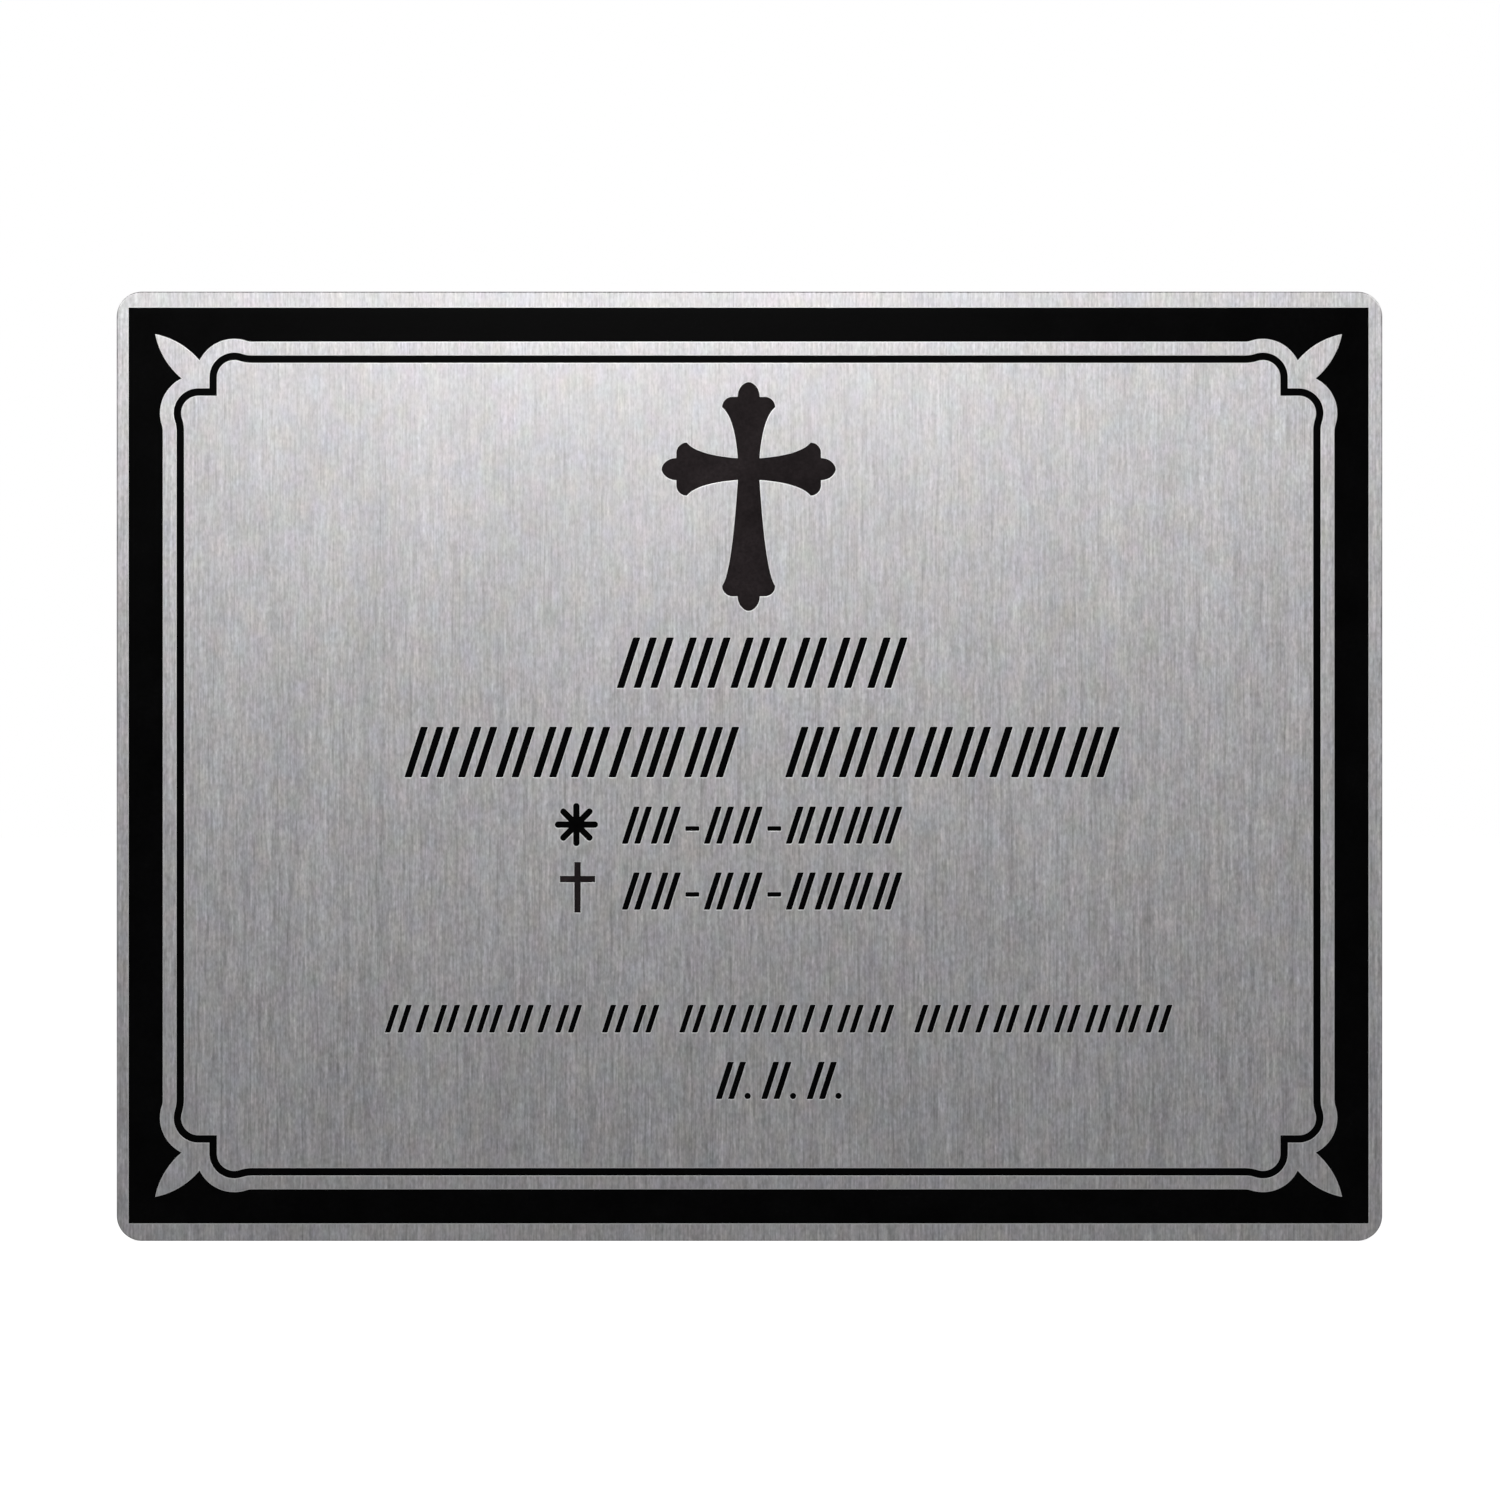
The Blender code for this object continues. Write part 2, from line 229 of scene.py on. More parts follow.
def start_material(name, metallic=0.0):
    """A material with only its shader and its output, and the piece's own coordinates."""
    material = bpy.data.materials.new(name)
    material.use_nodes = True
    tree = material.node_tree
    shader = tree.nodes["Principled BSDF"]
    shader.inputs["Metallic"].default_value = metallic
    coordinates = add_node(tree, "ShaderNodeTexCoord", {}).outputs["Object"]
    return material, tree, shader, coordinates


def grain(tree, coordinates, size, detail=2.0, roughness=0.5):
    """Noise whose grains measure about size in metres along X, Y and Z."""
    stretch = tuple(1.0 / length for length in size)
    mapping = add_node(tree, "ShaderNodeMapping", {"Vector": coordinates, "Scale": stretch})
    inputs = {"Scale": 1.0, "Detail": detail, "Roughness": roughness}
    return add_node(tree, "ShaderNodeTexNoise", {"Vector": mapping.outputs["Vector"], **inputs})


def map_range(tree, value, source, target):
    """Stretches one range of a value, such as the middle of a noise, to another."""
    inputs = {"From Min": source[0], "From Max": source[1], "To Min": target[0], "To Max": target[1]}
    return add_node(tree, "ShaderNodeMapRange", {"Value": value, **inputs}).outputs["Result"]


def combine(tree, operation, first, *others):
    """The sum or the product of several values."""
    for other in others:
        first = add_node(tree, "ShaderNodeMath", {0: first, 1: other}, operation=operation).outputs[0]
    return first


def set_colour(tree, shader, tint, shade):
    """A base colour of one tint, made lighter and darker by shade."""
    colour = add_node(tree, "ShaderNodeVectorMath", {0: tint, "Scale": shade}, operation="SCALE")
    tree.links.new(colour.outputs["Vector"], shader.inputs["Base Color"])


def set_relief(tree, shader, height, strength, distance):
    inputs = {"Height": height, "Strength": strength, "Distance": distance}
    bump = add_node(tree, "ShaderNodeBump", inputs)
    tree.links.new(bump.outputs["Normal"], shader.inputs["Normal"])


def make_enamel(name, colour):
    """Satin black enamel: brushed on, settled in the cut and a little uneven in gloss."""
    material, tree, shader, coordinates = start_material(name)
    shader.inputs["Specular IOR Level"].default_value = ENAMEL_SPECULAR
    cloud = grain(tree, coordinates, CLOUD_SIZE, detail=3.0).outputs["Fac"]
    dust = grain(tree, coordinates, DUST_SIZE).outputs["Fac"]
    shade = combine(tree, "MULTIPLY", map_range(tree, cloud, NOISE_MIDDLE, CLOUD_SHADE),
                    map_range(tree, dust, NOISE_MIDDLE, DUST_SHADE))
    set_colour(tree, shader, colour, shade)
    gloss = combine(tree, "ADD", map_range(tree, cloud, NOISE_MIDDLE, CLOUD_ROUGHNESS),
                    map_range(tree, dust, NOISE_MIDDLE, DUST_ROUGHNESS))
    tree.links.new(gloss, shader.inputs["Roughness"])
    set_relief(tree, shader, dust, DUST_RELIEF, DUST_HEIGHT)
    return material


def smooth_rounded_faces(mesh):
    """Flat faces stay flat and the rest are smooth, with the sharp edges kept."""
    mesh.set_sharp_from_angle(angle=SHARP_ANGLE)
    for face in mesh.polygons:
        face.use_smooth = abs(face.normal.y) < FLAT_NORMAL


def place_piece(name, bm):
    """Puts a finished bmesh into the scene as an object at the origin, and frees it."""
    mesh = bpy.data.meshes.new(name)
    bm.to_mesh(mesh)
    bm.free()
    piece = bpy.data.objects.new(name, mesh)
    bpy.context.scene.collection.objects.link(piece)
    return piece


def extrude_back(bm, faces, depth, keep=True):
    """Extrudes faces towards the plaque's back, with the faces that they start from kept or not."""
    made = bmesh.ops.extrude_face_region(bm, geom=faces, use_keep_orig=keep)["geom"]
    verts = [item for item in made if isinstance(item, bmesh.types.BMVert)]
    bmesh.ops.translate(bm, verts=verts, vec=(0.0, depth, 0.0))


def fill_with_enamel(name, drawing, material):
    """The enamel in a cut, which creeps a little way up the walls and dips between them."""
    bm = bmesh.new()
    bm.from_mesh(drawing)
    bmesh.ops.translate(bm, verts=bm.verts[:], vec=(0.0, ENAMEL_EDGE_DROP, 0.0))
    extrude_back(bm, bm.faces[:], ENGRAVING_DEPTH - ENAMEL_EDGE_DROP)
    bmesh.ops.recalc_face_normals(bm, faces=bm.faces[:])
    surface = [face for face in bm.faces if face.calc_center_median().y < FRONT + 2 * ENAMEL_EDGE_DROP]
    surface = [face for face in surface if face.normal.y < FRONTAL_NORMAL]
    for width, dip in MENISCUS_STEPS:
        bmesh.ops.inset_region(
            bm, faces=surface, thickness=width, depth=-dip, use_even_offset=True, use_boundary=True
        )
    piece = place_piece(name, bm)
    smooth_rounded_faces(piece.data)
    piece.data.materials.append(material)
    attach(piece, "root")
    cuts.append(drawing)


cuts = []
black_enamel = make_enamel("black_enamel", ENAMEL_COLOUR)

band = bmesh.new()
draw_rectangle(band, band_half_width, band_half_height)
bmesh.ops.delete(band, geom=band.faces[:], context="FACES_ONLY")
bmesh.ops.translate(band, verts=band.verts[:], vec=BORDER_MIDDLE)
draw_border_edge(band, 0.0)
fill_with_enamel("border_band_enamel", close_drawing("border_band", band), black_enamel)

# Thin inner line
# The thin black line that follows the band inside a light gap. It ends each corner in a square
# notch instead of a leaf, and is engraved and filled as the band is.
line = bmesh.new()
draw_border_edge(line, LINE_GAP)
draw_border_edge(line, LINE_GAP + LINE_WIDTH)
fill_with_enamel("inner_line_enamel", close_drawing("inner_line", line), black_enamel)

# Large cross
# The large cross at the top, with flared arms that end in two round shoulders and a rounded bud.
# Its enamel is a shade lighter than the rest, a very dark warm grey.
CROSS_MIDDLE = (-0.00013, 0.0, 0.04694)
CROSS_ARM_LENGTH = 0.01375
CROSS_FOOT_LENGTH = 0.02242
CROSS_HALF_WAIST = 0.00172
ARM_FLARE = (0.00050, 0.80)
FOOT_FLARE = (0.00095, 0.88)
FLARE_POINTS = 25
SHOULDER_RADIUS = 0.00165
SHOULDER_LEDGE = 0.0008
HALF_BUD_WIDTH = 0.00175
BUD_HEIGHT = 0.00232
BUD_FULLNESS = 0.60
BUD_BLUNTNESS = 0.42
BUD_POINTS = 13
CROSS_ENAMEL_COLOUR = (0.0140, 0.0110, 0.0118)


def draw_arm(bm, length, flare, quarter):
    """One arm of the cross, drawn pointing up and then turned by so many quarters.

    The flare gives how much its knee swells, and how far along the arm the knee stands.
    """
    arm = bmesh.new()
    shoulder_x = HALF_BUD_WIDTH + SHOULDER_LEDGE
    shoulder_z = length - BUD_HEIGHT - SHOULDER_RADIUS
    waist = Vector((CROSS_HALF_WAIST, CROSS_HALF_WAIST))
    tip = Vector((shoulder_x + SHOULDER_RADIUS, shoulder_z))
    knee = Vector((waist.x + flare[0], waist.y + flare[1] * (tip.y - waist.y)))
    handles = waist.lerp(knee, 2 / 3), tip.lerp(knee, 2 / 3)
    point = start_line(arm, *waist)
    for step in interpolate_bezier(waist, *handles, tip, FLARE_POINTS)[1:]:
        point = line_to(arm, point, step.x, step.y)
    point = arc_about(arm, point, shoulder_x, shoulder_z, math.pi / 2)
    point = line_to(arm, point, HALF_BUD_WIDTH, length - BUD_HEIGHT)
    ledge = Vector((HALF_BUD_WIDTH, length - BUD_HEIGHT))
    swell = ledge + Vector((0.0, BUD_FULLNESS * BUD_HEIGHT))
    crown = Vector((BUD_BLUNTNESS * HALF_BUD_WIDTH, length))
    for step in interpolate_bezier(ledge, swell, crown, Vector((0.0, length)), BUD_POINTS)[1:]:
        point = line_to(arm, point, step.x, step.y)
    mirror_drawing(arm, "X")
    turn = Matrix.Rotation(quarter * math.pi / 2, 4, "Y")
    bmesh.ops.transform(arm, matrix=turn, verts=arm.verts[:])
    add_drawing(bm, arm)


cross = bmesh.new()
for quarter in (0, 1, 3):
    draw_arm(cross, CROSS_ARM_LENGTH, ARM_FLARE, quarter)
draw_arm(cross, CROSS_FOOT_LENGTH, FOOT_FLARE, 2)
bmesh.ops.remove_doubles(cross, verts=cross.verts[:], dist=MERGE_DISTANCE)
bmesh.ops.translate(cross, verts=cross.verts[:], vec=CROSS_MIDDLE)
cross_enamel = make_enamel("cross_enamel", CROSS_ENAMEL_COLOUR)
fill_with_enamel("large_cross_enamel", close_drawing("large_cross", cross), cross_enamel)

# Star and small cross
# The eight-armed star before the upper row of dates and the small plain cross before the lower
# one, each cut with a tool as wide as its stroke.
SYMBOL_HALF_STROKE = 0.00051
STAR_MIDDLE = (-0.02735, 0.0, -0.00922)
STAR_ARM_LENGTH = 0.00342
STAR_ARMS = 8
SMALL_CROSS_MIDDLE = (-0.02717, 0.0, -0.01913)
SMALL_CROSS_HALF_HEIGHT = 0.00400
SMALL_CROSS_HALF_WIDTH = 0.00278
SMALL_CROSS_BAR_Z = 0.00130

star = bmesh.new()
half_turn = math.pi / STAR_ARMS
fork = SYMBOL_HALF_STROKE / math.sin(half_turn)
arm_end = STAR_ARM_LENGTH - SYMBOL_HALF_STROKE
point = start_line(star, fork * math.cos(half_turn), -fork * math.sin(half_turn))
point = line_to(star, point, arm_end, -SYMBOL_HALF_STROKE)
point = arc_about(star, point, arm_end, 0.0, math.pi)
line_to(star, point, fork * math.cos(half_turn), fork * math.sin(half_turn))
bmesh.ops.spin(
    star, geom=star.verts[:] + star.edges[:], cent=(0.0, FRONT, 0.0), axis=(0, -1, 0),
    angle=math.tau, steps=STAR_ARMS, use_duplicate=True,
)
bmesh.ops.remove_doubles(star, verts=star.verts[:], dist=MERGE_DISTANCE)
bmesh.ops.translate(star, verts=star.verts[:], vec=STAR_MIDDLE)
fill_with_enamel("star_enamel", close_drawing("star", star), black_enamel)

small_cross = bmesh.new()
point = start_line(small_cross, 0.0, -SMALL_CROSS_HALF_HEIGHT)
point = line_to(small_cross, point, SYMBOL_HALF_STROKE, -SMALL_CROSS_HALF_HEIGHT)
point = line_to(small_cross, point, SYMBOL_HALF_STROKE, SMALL_CROSS_BAR_Z - SYMBOL_HALF_STROKE)
point = line_to(small_cross, point, SMALL_CROSS_HALF_WIDTH, SMALL_CROSS_BAR_Z - SYMBOL_HALF_STROKE)
point = line_to(small_cross, point, SMALL_CROSS_HALF_WIDTH, SMALL_CROSS_BAR_Z + SYMBOL_HALF_STROKE)
point = line_to(small_cross, point, SYMBOL_HALF_STROKE, SMALL_CROSS_BAR_Z + SYMBOL_HALF_STROKE)
point = line_to(small_cross, point, SYMBOL_HALF_STROKE, SMALL_CROSS_HALF_HEIGHT)
line_to(small_cross, point, 0.0, SMALL_CROSS_HALF_HEIGHT)
mirror_drawing(small_cross, "X")
bmesh.ops.translate(small_cross, verts=small_cross.verts[:], vec=SMALL_CROSS_MIDDLE)
fill_with_enamel("small_cross_enamel", close_drawing("small_cross", small_cross), cross_enamel)

# Rows of strokes
# Six rows of plain slanted strokes, engraved with a round tool and filled black. A digit in a
# row's pattern is a mark of so many strokes, "-" is a dash, "." is a dot and a space parts words.
STROKE_LEAN = math.radians(18)
STROKE_CORNER = 0.00016
STROKE_CORNER_SEGMENTS = 4
MARK_SPACE_RATIO = 1.7
DASH_LENGTH = 0.0022
DASH_THICKNESS = 0.00074
DASH_RISE = 0.41
DOT_DIAMETER = 0.0010
DOT_POINTS = 32
DATE_PATTERN = "22-22-2222"
ROWS = (
    # name, baseline, middle, length, height, stroke, space between words, pattern
    ("first_row", 0.01235, 0.0020, 0.0460, 0.0080, 0.00118, 0.0, "333222"),
    ("second_row", -0.00176, 0.0020, 0.1131, 0.0080, 0.00118, 0.0098, "32222133 32222133"),
    ("upper_date_row", -0.01226, 0.0020, 0.0444, 0.0059, 0.00098, 0.0, DATE_PATTERN),
    ("lower_date_row", -0.02267, 0.0020, 0.0444, 0.0059, 0.00098, 0.0, DATE_PATTERN),
    ("phrase_row", -0.04208, 0.0046, 0.1245, 0.0044, 0.00088, 0.0045, "2123212 22 22221122 221222222"),
    ("last_row", -0.05259, 0.0046, 0.0199, 0.0059, 0.00098, 0.0, "2.2.2."),
)


def draw_bar(bm, x, z, width, height, lean):
    """A bar from its lower left corner, slanted by lean, with its corners rounded by the tool."""
    slant = Matrix.Identity(4)
    slant[0][2] = lean
    middle = Matrix.Translation((width / 2, 0.0, height / 2))
    size = Matrix.Diagonal((width / 2, 1.0, height / 2, 1.0))
    place = Matrix.Translation((x, FRONT, z)) @ slant @ middle @ size @ UPRIGHT
    bar = bmesh.ops.create_grid(bm, x_segments=1, y_segments=1, size=1.0, matrix=place)
    bmesh.ops.bevel(
        bm, geom=bar["verts"], offset=STROKE_CORNER, segments=STROKE_CORNER_SEGMENTS, profile=0.5,
        affect="VERTICES", material=-1,
    )


def draw_dot(bm, x, z):
    """A round dot that touches the left and the lower side of its corner x, z."""
    radius = DOT_DIAMETER / 2
    place = Matrix.Translation((x + radius, FRONT, z + radius)) @ UPRIGHT
    bmesh.ops.create_circle(bm, cap_ends=True, segments=DOT_POINTS, radius=radius, matrix=place)


def mark_length(mark, stroke, space):
    """The length of a mark along its row, with the spaces between its own strokes."""
    if mark.isdigit():
        return int(mark) * stroke + (int(mark) - 1) * space
    return DASH_LENGTH if mark == "-" else DOT_DIAMETER


for name, baseline, middle, length, height, stroke, word_space, pattern in ROWS:
    row = bmesh.new()
    words = pattern.split()
    slant = height * math.tan(STROKE_LEAN)
    solid = sum(mark_length(mark, stroke, 0.0) for word in words for mark in word)
    inner_spaces = sum(int(mark) - 1 for mark in pattern if mark.isdigit())
    outer_spaces = sum(len(word) - 1 for word in words)
    last_lean = slant if pattern[-1].isdigit() else 0.0
    free = length - last_lean - solid - (len(words) - 1) * word_space
    space = free / (inner_spaces + MARK_SPACE_RATIO * outer_spaces)
    left = middle - length / 2
    for word in words:
        for mark in word:
            if mark == "-":
                dash_z = baseline + DASH_RISE * height - DASH_THICKNESS / 2
                draw_bar(row, left + slant / 2, dash_z, DASH_LENGTH, DASH_THICKNESS, 0.0)
            elif mark == ".":
                draw_dot(row, left, baseline)
            else:
                for number in range(int(mark)):
                    foot = left + number * (stroke + space)
                    draw_bar(row, foot, baseline, stroke, height, math.tan(STROKE_LEAN))
            left += mark_length(mark, stroke, space) + MARK_SPACE_RATIO * space
        left += word_space - MARK_SPACE_RATIO * space
    fill_with_enamel(name + "_enamel", close_drawing(name, row), black_enamel)

# Aluminium sheet
# One sheet with rounded corners, its front brushed upright, with every cut sunk into it and a
# nearly flat rim round each one, lighter than the front: partly bare cut metal, partly a painted
# highlight along the cut's edge. Its edges are broken and its back is left as it came rolled.
CORNER_RADIUS = 0.004
CORNER_SEGMENTS = 24
EDGE_ROUNDING = 0.00022
EDGE_SEGMENTS = 4
BACK_NORMAL = 0.99
RIM_WIDTH = 0.00010
RIM_DEPTH = 0.000005
BRUSHED, CUT, ROLLED = range(3)
NOISE_ALL = (0.0, 1.0)
NOISE_MOST = (0.2, 0.8)
METAL_RELIEF_HEIGHT = 0.00003

BRUSHED_ANISOTROPY = 0.55
BRUSHED_RELIEF = 0.10
SCRATCH_SIZE = (0.00040, 0.00040, 0.0072)
SCRATCH_SHADE = (0.53, 1.47)
SCRATCH_ROUGHNESS = (0.32, 0.48)
STREAK_SIZE = (0.0009, 0.0009, 0.040)
STREAK_SHADE = (0.86, 1.14)
STREAK_ROUGHNESS = (-0.02, 0.02)
SPECK_SIZE = (0.00036, 0.00036, 0.00080)
SPECK_SHADE = (0.68, 1.32)
SPECK_ROUGHNESS = (-0.03, 0.03)
HAIRLINE_SIZE = (0.00030, 0.00030, 0.018)
HAIRLINE_PEAKS = (0.60, 0.72)
HAIRLINE_SHADE = (1.0, 0.86)
HAZE_SIZE = (0.009, 0.009, 0.030)
HAZE_SHADE = (0.93, 1.07)
MOTTLE_SIZE = (0.0030, 0.0030, 0.0040)
MOTTLE_TINT = (0.070, 0.045, 0.095)
BRUSHED_TINT = (0.581, 0.5855, 0.5775)

CUT_TINT = (1.0, 1.0, 1.01)
CHATTER_SIZE = (0.00025, 0.00025, 0.00025)
# Lighter than the brushed front: partly the bare cut metal's own tone, partly a painted highlight
# along the rims.
CHATTER_AND_HIGHLIGHT_SHADE = (0.66, 0.78)
CHATTER_ROUGHNESS = (0.42, 0.28)

ROLLED_TINT = (1.0, 1.0, 1.02)
ROLLED_RELIEF = 0.12
ROLL_LINE_SIZE = (0.060, 0.0006, 0.0006)
ROLL_LINE_SHADE = (0.88, 1.12)
ROLL_LINE_ROUGHNESS = (0.36, 0.42)
PATCH_SIZE = (0.025, 0.025, 0.016)
PATCH_SHADE = (0.50, 0.68)
PATCH_ROUGHNESS = (-0.03, 0.05)


def make_brushed_aluminium():
    """Fine upright brushing: short scratches, long faint streaks and a slight mottled tint."""
    material, tree, shader, coordinates = start_material("brushed_aluminium", metallic=1.0)
    shader.inputs["Anisotropic"].default_value = BRUSHED_ANISOTROPY
    scratch = grain(tree, coordinates, SCRATCH_SIZE, detail=3.0, roughness=0.65).outputs["Fac"]
    hairline = grain(tree, coordinates, HAIRLINE_SIZE, detail=1.0).outputs["Fac"]
    speck = grain(tree, coordinates, SPECK_SIZE, detail=1.0).outputs["Fac"]
    streak = grain(tree, coordinates, STREAK_SIZE, detail=1.0).outputs["Fac"]
    haze = grain(tree, coordinates, HAZE_SIZE).outputs["Fac"]
    mottle = grain(tree, coordinates, MOTTLE_SIZE, detail=1.0).outputs["Color"]
    shade = combine(tree, "MULTIPLY", map_range(tree, scratch, NOISE_ALL, SCRATCH_SHADE),
                    map_range(tree, streak, NOISE_ALL, STREAK_SHADE),
                    map_range(tree, speck, NOISE_ALL, SPECK_SHADE),
                    map_range(tree, hairline, HAIRLINE_PEAKS, HAIRLINE_SHADE),
                    map_range(tree, haze, NOISE_ALL, HAZE_SHADE))
    tint = add_node(tree, "ShaderNodeVectorMath", {0: mottle, 1: MOTTLE_TINT, 2: BRUSHED_TINT},
                    operation="MULTIPLY_ADD")
    set_colour(tree, shader, tint.outputs["Vector"], shade)
    gloss = combine(tree, "ADD", map_range(tree, scratch, NOISE_MOST, SCRATCH_ROUGHNESS),
                    map_range(tree, streak, NOISE_MOST, STREAK_ROUGHNESS),
                    map_range(tree, speck, NOISE_MOST, SPECK_ROUGHNESS))
    tree.links.new(gloss, shader.inputs["Roughness"])
    height = combine(tree, "ADD", scratch, streak)
    set_relief(tree, shader, height, BRUSHED_RELIEF, METAL_RELIEF_HEIGHT)
    return material


def make_cut_aluminium():
    """The bare metal that the cutter leaves on the rim and walls of a cut; its lighter tone is partly
    painted highlight.
    """
    material, tree, shader, coordinates = start_material("cut_aluminium_and_highlight", metallic=1.0)
    chatter = grain(tree, coordinates, CHATTER_SIZE).outputs["Fac"]
    set_colour(tree, shader, CUT_TINT, map_range(tree, chatter, NOISE_MOST, CHATTER_AND_HIGHLIGHT_SHADE))
    gloss = map_range(tree, chatter, NOISE_MOST, CHATTER_ROUGHNESS)
    tree.links.new(gloss, shader.inputs["Roughness"])
    return material


def make_rolled_aluminium():
    """The plain rolled back: duller, with faint level roll lines and cloudy patches."""
    material, tree, shader, coordinates = start_material("rolled_aluminium", metallic=1.0)
    roll_line = grain(tree, coordinates, ROLL_LINE_SIZE).outputs["Fac"]
    patch = grain(tree, coordinates, PATCH_SIZE, detail=3.0).outputs["Fac"]
    shade = combine(tree, "MULTIPLY", map_range(tree, roll_line, NOISE_ALL, ROLL_LINE_SHADE),
                    map_range(tree, patch, NOISE_ALL, PATCH_SHADE))
    set_colour(tree, shader, ROLLED_TINT, shade)
    gloss = combine(tree, "ADD", map_range(tree, roll_line, NOISE_MOST, ROLL_LINE_ROUGHNESS),
                    map_range(tree, patch, NOISE_MIDDLE, PATCH_ROUGHNESS))
    tree.links.new(gloss, shader.inputs["Roughness"])
    set_relief(tree, shader, roll_line, ROLLED_RELIEF, METAL_RELIEF_HEIGHT)
    return material


def fill_front(bm):
    """Fills what is open in the plane of the front with faces that all face outwards.

    The feet of a row stand on one line, so a triangle between three of them has no area and no
    normal of its own. It is turned as its neighbours are, and is given the normal of the plane.
    """
    open_edges = [edge for edge in bm.edges if len(edge.link_faces) == 1]
    filled = bmesh.ops.triangle_fill(bm, edges=open_edges, use_beauty=True)["geom"]
    filled = [item for item in filled if isinstance(item, bmesh.types.BMFace)]
    bmesh.ops.recalc_face_normals(bm, faces=bm.faces[:])
    for face in filled:
        face.material_index = BRUSHED
        face.normal = (0.0, -1.0, 0.0)
    return filled


sheet = bmesh.new()
draw_rectangle(sheet, HALF_WIDTH, HALF_HEIGHT)
bmesh.ops.bevel(
    sheet, geom=sheet.verts[:], offset=CORNER_RADIUS, segments=CORNER_SEGMENTS, profile=0.5,
    affect="VERTICES", material=-1,
)
extrude_back(sheet, sheet.faces[:], -FRONT)
bmesh.ops.recalc_face_normals(sheet, faces=sheet.faces[:])
outer_edges = [
    edge for edge in sheet.edges if abs(edge.verts[0].co.y - edge.verts[1].co.y) < MERGE_DISTANCE
]
bmesh.ops.bevel(
    sheet, geom=outer_edges, offset=EDGE_ROUNDING, segments=EDGE_SEGMENTS, profile=0.5,
    affect="EDGES", material=-1,
)
plain_front = min(sheet.faces, key=lambda face: face.calc_center_median().y)
bmesh.ops.delete(sheet, geom=[plain_front], context="FACES_ONLY")
for face in sheet.faces:
    face.material_index = ROLLED if face.normal.y > BACK_NORMAL else BRUSHED
shell = set(sheet.faces)
for drawing in cuts:
    sheet.from_mesh(drawing)
sunk = [face for face in sheet.faces if face not in shell]

# The rims grow outwards from the cuts. The front is filled again between them, because its
# narrow triangles would fold where a rim moves their edge.
front = fill_front(sheet)
rim = bmesh.ops.inset_region(
    sheet, faces=sunk, thickness=RIM_WIDTH, use_even_offset=True, use_boundary=True, use_outset=True
)["faces"]
bmesh.ops.delete(sheet, geom=front, context="FACES")
fill_front(sheet)
for face in rim:
    face.material_index = CUT
verts = list({vert for face in sunk for vert in face.verts})
bmesh.ops.translate(sheet, verts=verts, vec=(0.0, RIM_DEPTH, 0.0))
before = set(sheet.faces)
extrude_back(sheet, sunk, ENGRAVING_DEPTH - RIM_DEPTH, keep=False)
bmesh.ops.delete(sheet, geom=sunk, context="FACES")
for face in sheet.faces:
    if face not in before:
        face.material_index = CUT
aluminium_sheet = place_piece("aluminium_sheet", sheet)
smooth_rounded_faces(aluminium_sheet.data)
for material in (make_brushed_aluminium(), make_cut_aluminium(), make_rolled_aluminium()):
    aluminium_sheet.data.materials.append(material)
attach(aluminium_sheet, "root")
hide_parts("plaque_plate")
for drawing in cuts:
    bpy.data.meshes.remove(drawing)

# Pale floor
# A plain white table that the plaque stands on. It glows a little, as a table lit from below
# does, and the metal doesn't mirror it.
FLOOR_SIZE = 6.0
FLOOR_GAP = 0.0001
FLOOR_COLOUR = (0.8, 0.8, 0.8, 1.0)
FLOOR_ROUGHNESS = 0.9
FLOOR_GLOW = 0.80
WHITE = (1.0, 1.0, 1.0, 1.0)

floor = bmesh.new()
place = Matrix.Translation((0.0, 0.0, sheet_low.z - FLOOR_GAP))
bmesh.ops.create_grid(floor, x_segments=1, y_segments=1, size=FLOOR_SIZE / 2, matrix=place)
table, tree, shader, coordinates = start_material("pale_table")
shader.inputs["Roughness"].default_value = FLOOR_ROUGHNESS
shader.inputs["Base Color"].default_value = FLOOR_COLOUR
shader.inputs["Emission Color"].default_value = WHITE
shader.inputs["Emission Strength"].default_value = FLOOR_GLOW
pale_floor = place_piece("pale_floor", floor)
pale_floor.data.materials.append(table)
pale_floor.visible_glossy = False
pale_floor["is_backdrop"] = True

# Studio light
# A white room that is dimmer than it looks to the camera, with two soft boxes high in front of
# the plaque and one at each side. The light falls off down the sheet, as in the photograph.
ROOM_LIGHT = 0.258
LAMP_COLOUR = (1.0, 0.995, 0.98)
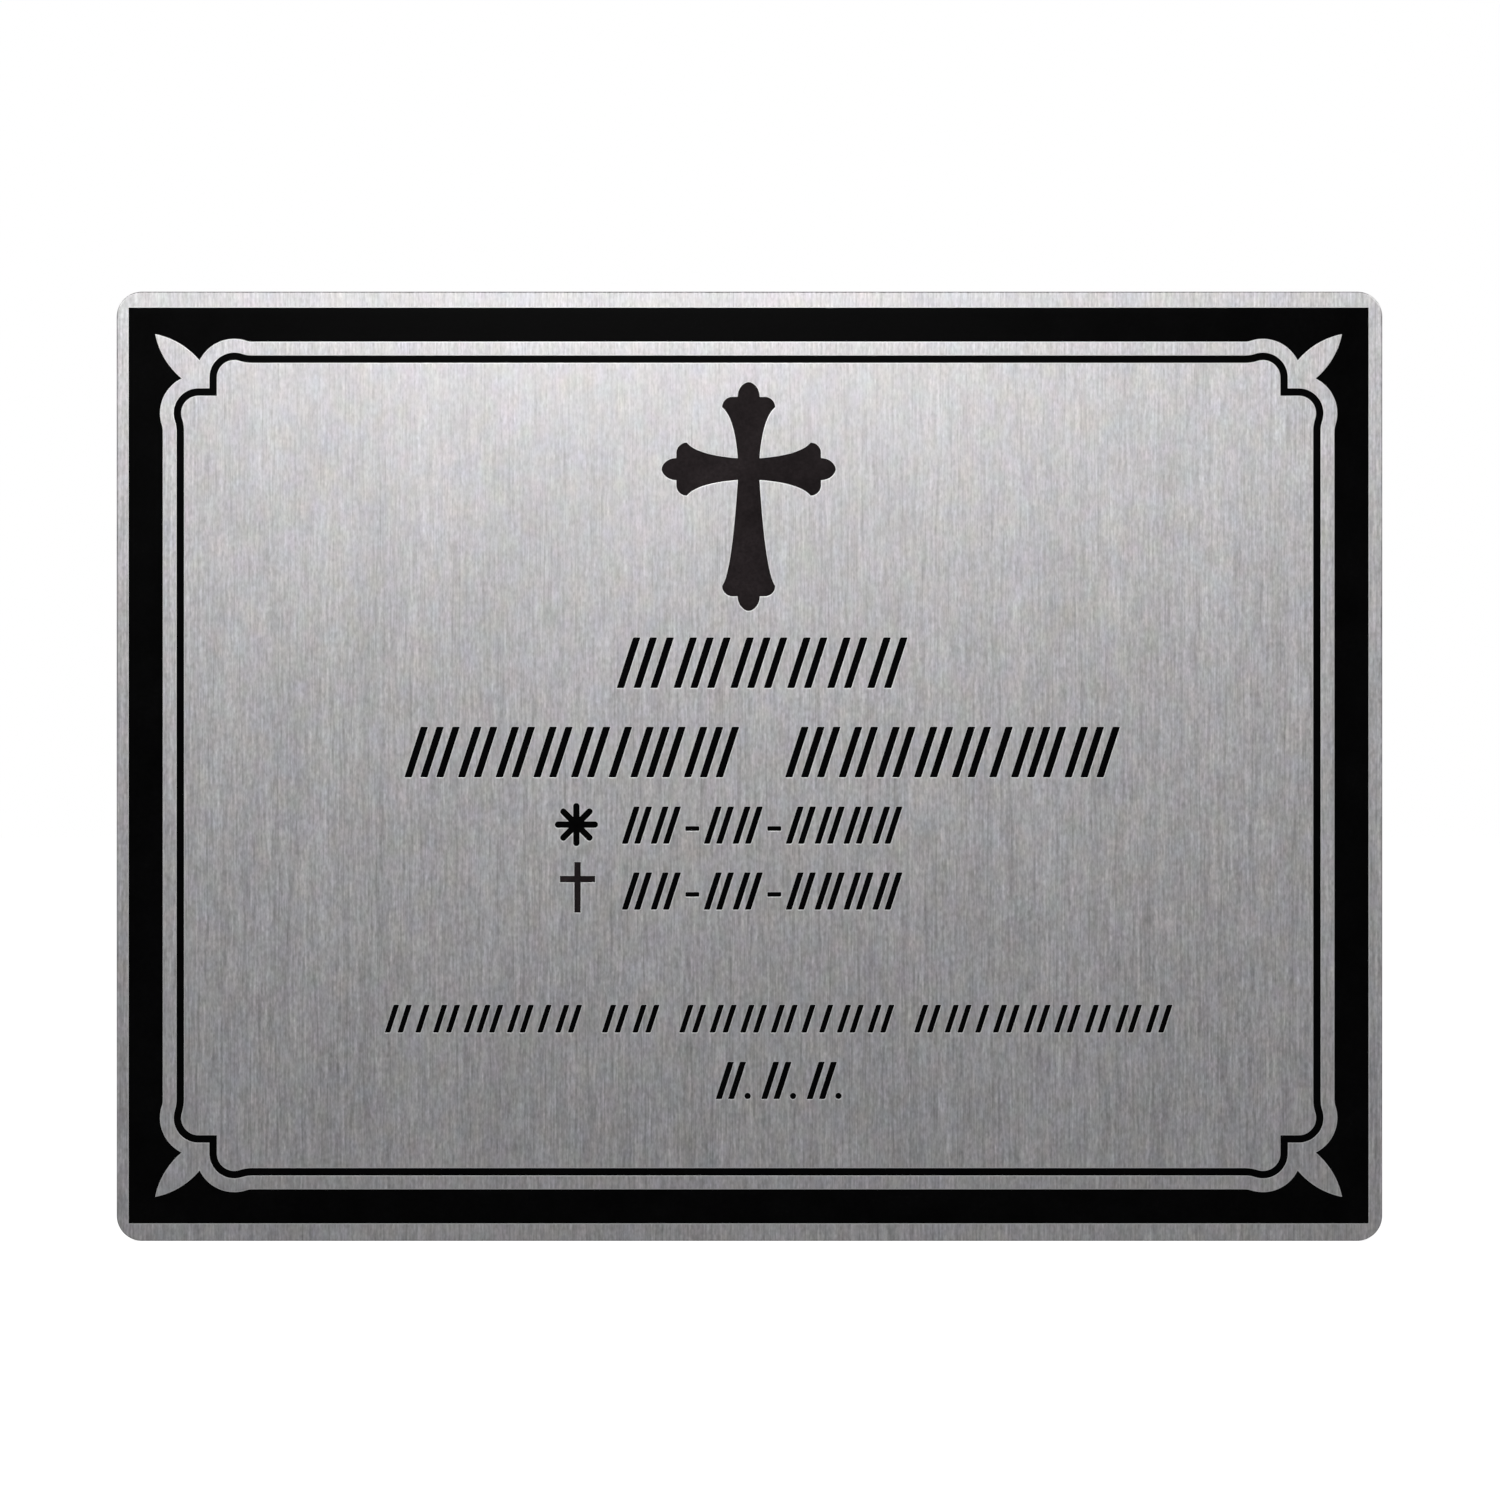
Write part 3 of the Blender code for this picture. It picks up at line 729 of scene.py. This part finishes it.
SOFTBOXES = (
    # name, place, target, width, height, power
    ("high_softbox", (-0.05, -0.90, 0.32), (0.0, 0.0, 0.0), 0.25, 0.30, 1.03),
    ("front_softbox", (-0.05, -0.90, 0.20), (0.0, 0.0, 0.0), 0.50, 0.30, 0.48),
    ("left_softbox", (-0.45, -0.45, 0.40), (0.0, 0.0, 0.03), 0.40, 0.30, 1.3),
    ("right_softbox", (0.45, -0.45, 0.40), (0.0, 0.0, 0.03), 0.40, 0.30, 1.2),
)

for name, place, target, width, height, power in SOFTBOXES:
    light = bpy.data.lights.new(name, "AREA")
    light.shape = "RECTANGLE"
    light.size = width
    light.size_y = height
    light.energy = power
    light.color = LAMP_COLOUR
    softbox = bpy.data.objects.new(name, light)
    softbox.location = place
    softbox.rotation_euler = (Vector(target) - Vector(place)).to_track_quat("-Z", "Y").to_euler()
    bpy.context.scene.collection.objects.link(softbox)

world = bpy.data.worlds.new("white_room")
bpy.context.scene.world = world
world.use_nodes = True
background = world.node_tree.nodes["Background"]
seen = add_node(world.node_tree, "ShaderNodeLightPath", {}).outputs["Is Camera Ray"]
strength = map_range(world.node_tree, seen, (0.0, 1.0), (ROOM_LIGHT, 1.0))
world.node_tree.links.new(strength, background.inputs["Strength"])
background.inputs["Color"].default_value = WHITE
bpy.context.scene.view_settings.view_transform = "Standard"

# Camera
# Level and square to the front, far enough away that the plaque shows no perspective. The frame
# is 237 mm wide at the front of the sheet, and the plaque stands a little below its middle.
FRAME_WIDTH = 0.23697
CAMERA_X = 0.00008
CAMERA_Z = 0.00257
LENS = 100.0
SENSOR_WIDTH = 36.0
CLIP_END = 50.0

camera_data = bpy.data.cameras.new("camera")
camera_data.lens = LENS
camera_data.sensor_width = SENSOR_WIDTH
camera_data.clip_end = CLIP_END
camera = bpy.data.objects.new("camera", camera_data)
camera.location = (CAMERA_X, FRONT - FRAME_WIDTH * LENS / SENSOR_WIDTH, CAMERA_Z)
camera.rotation_euler = (math.pi / 2, 0.0, 0.0)
bpy.context.scene.collection.objects.link(camera)
bpy.context.scene.camera = camera

boxes = {"cad": cad_box, "visual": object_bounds()}
boxes = {name: [list(corner) for corner in box] for name, box in boxes.items()}
